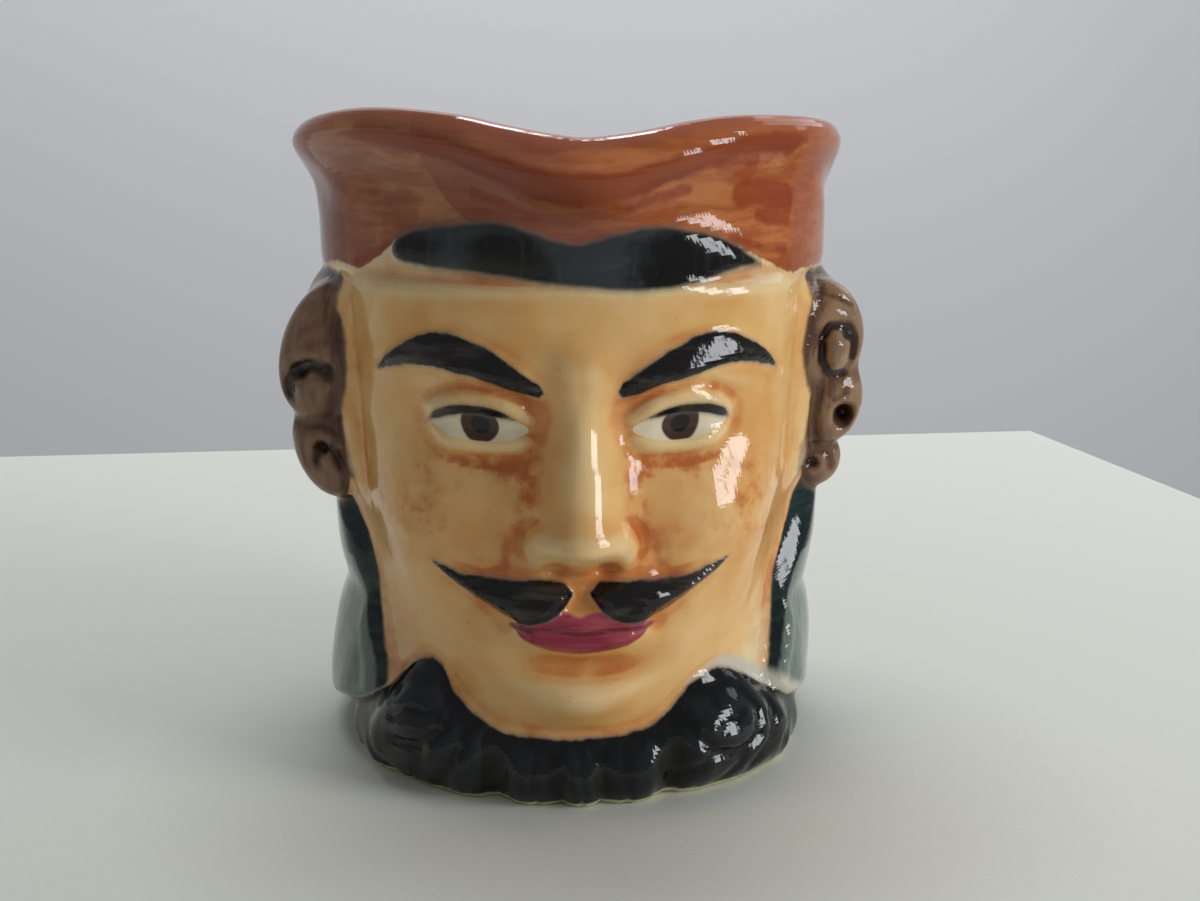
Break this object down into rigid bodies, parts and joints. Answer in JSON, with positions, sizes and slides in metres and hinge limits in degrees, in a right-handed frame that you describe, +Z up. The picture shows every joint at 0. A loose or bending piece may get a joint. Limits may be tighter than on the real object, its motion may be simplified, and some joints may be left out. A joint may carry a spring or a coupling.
{
  "type": "toby jug",
  "caption": "Small toby jug: a hollow cast pottery mug in the form of a man's head in a cocked hat, with side curls, moustache, collar, neckcloth and a loop handle behind.",
  "frame": {"origin": "centre of the flat underside, on the axis of the body", "axes": "+Z up, the face looks along -Y, the handle stands behind along +Y"},
  "size_m": [0.0963, 0.1239, 0.105],
  "materials": {
    "glaze": "gloss glaze over hand-painted colours"
  },
  "bodies": {
    "root": {"toby_jug": "glaze"}
  },
  "joints": []
}
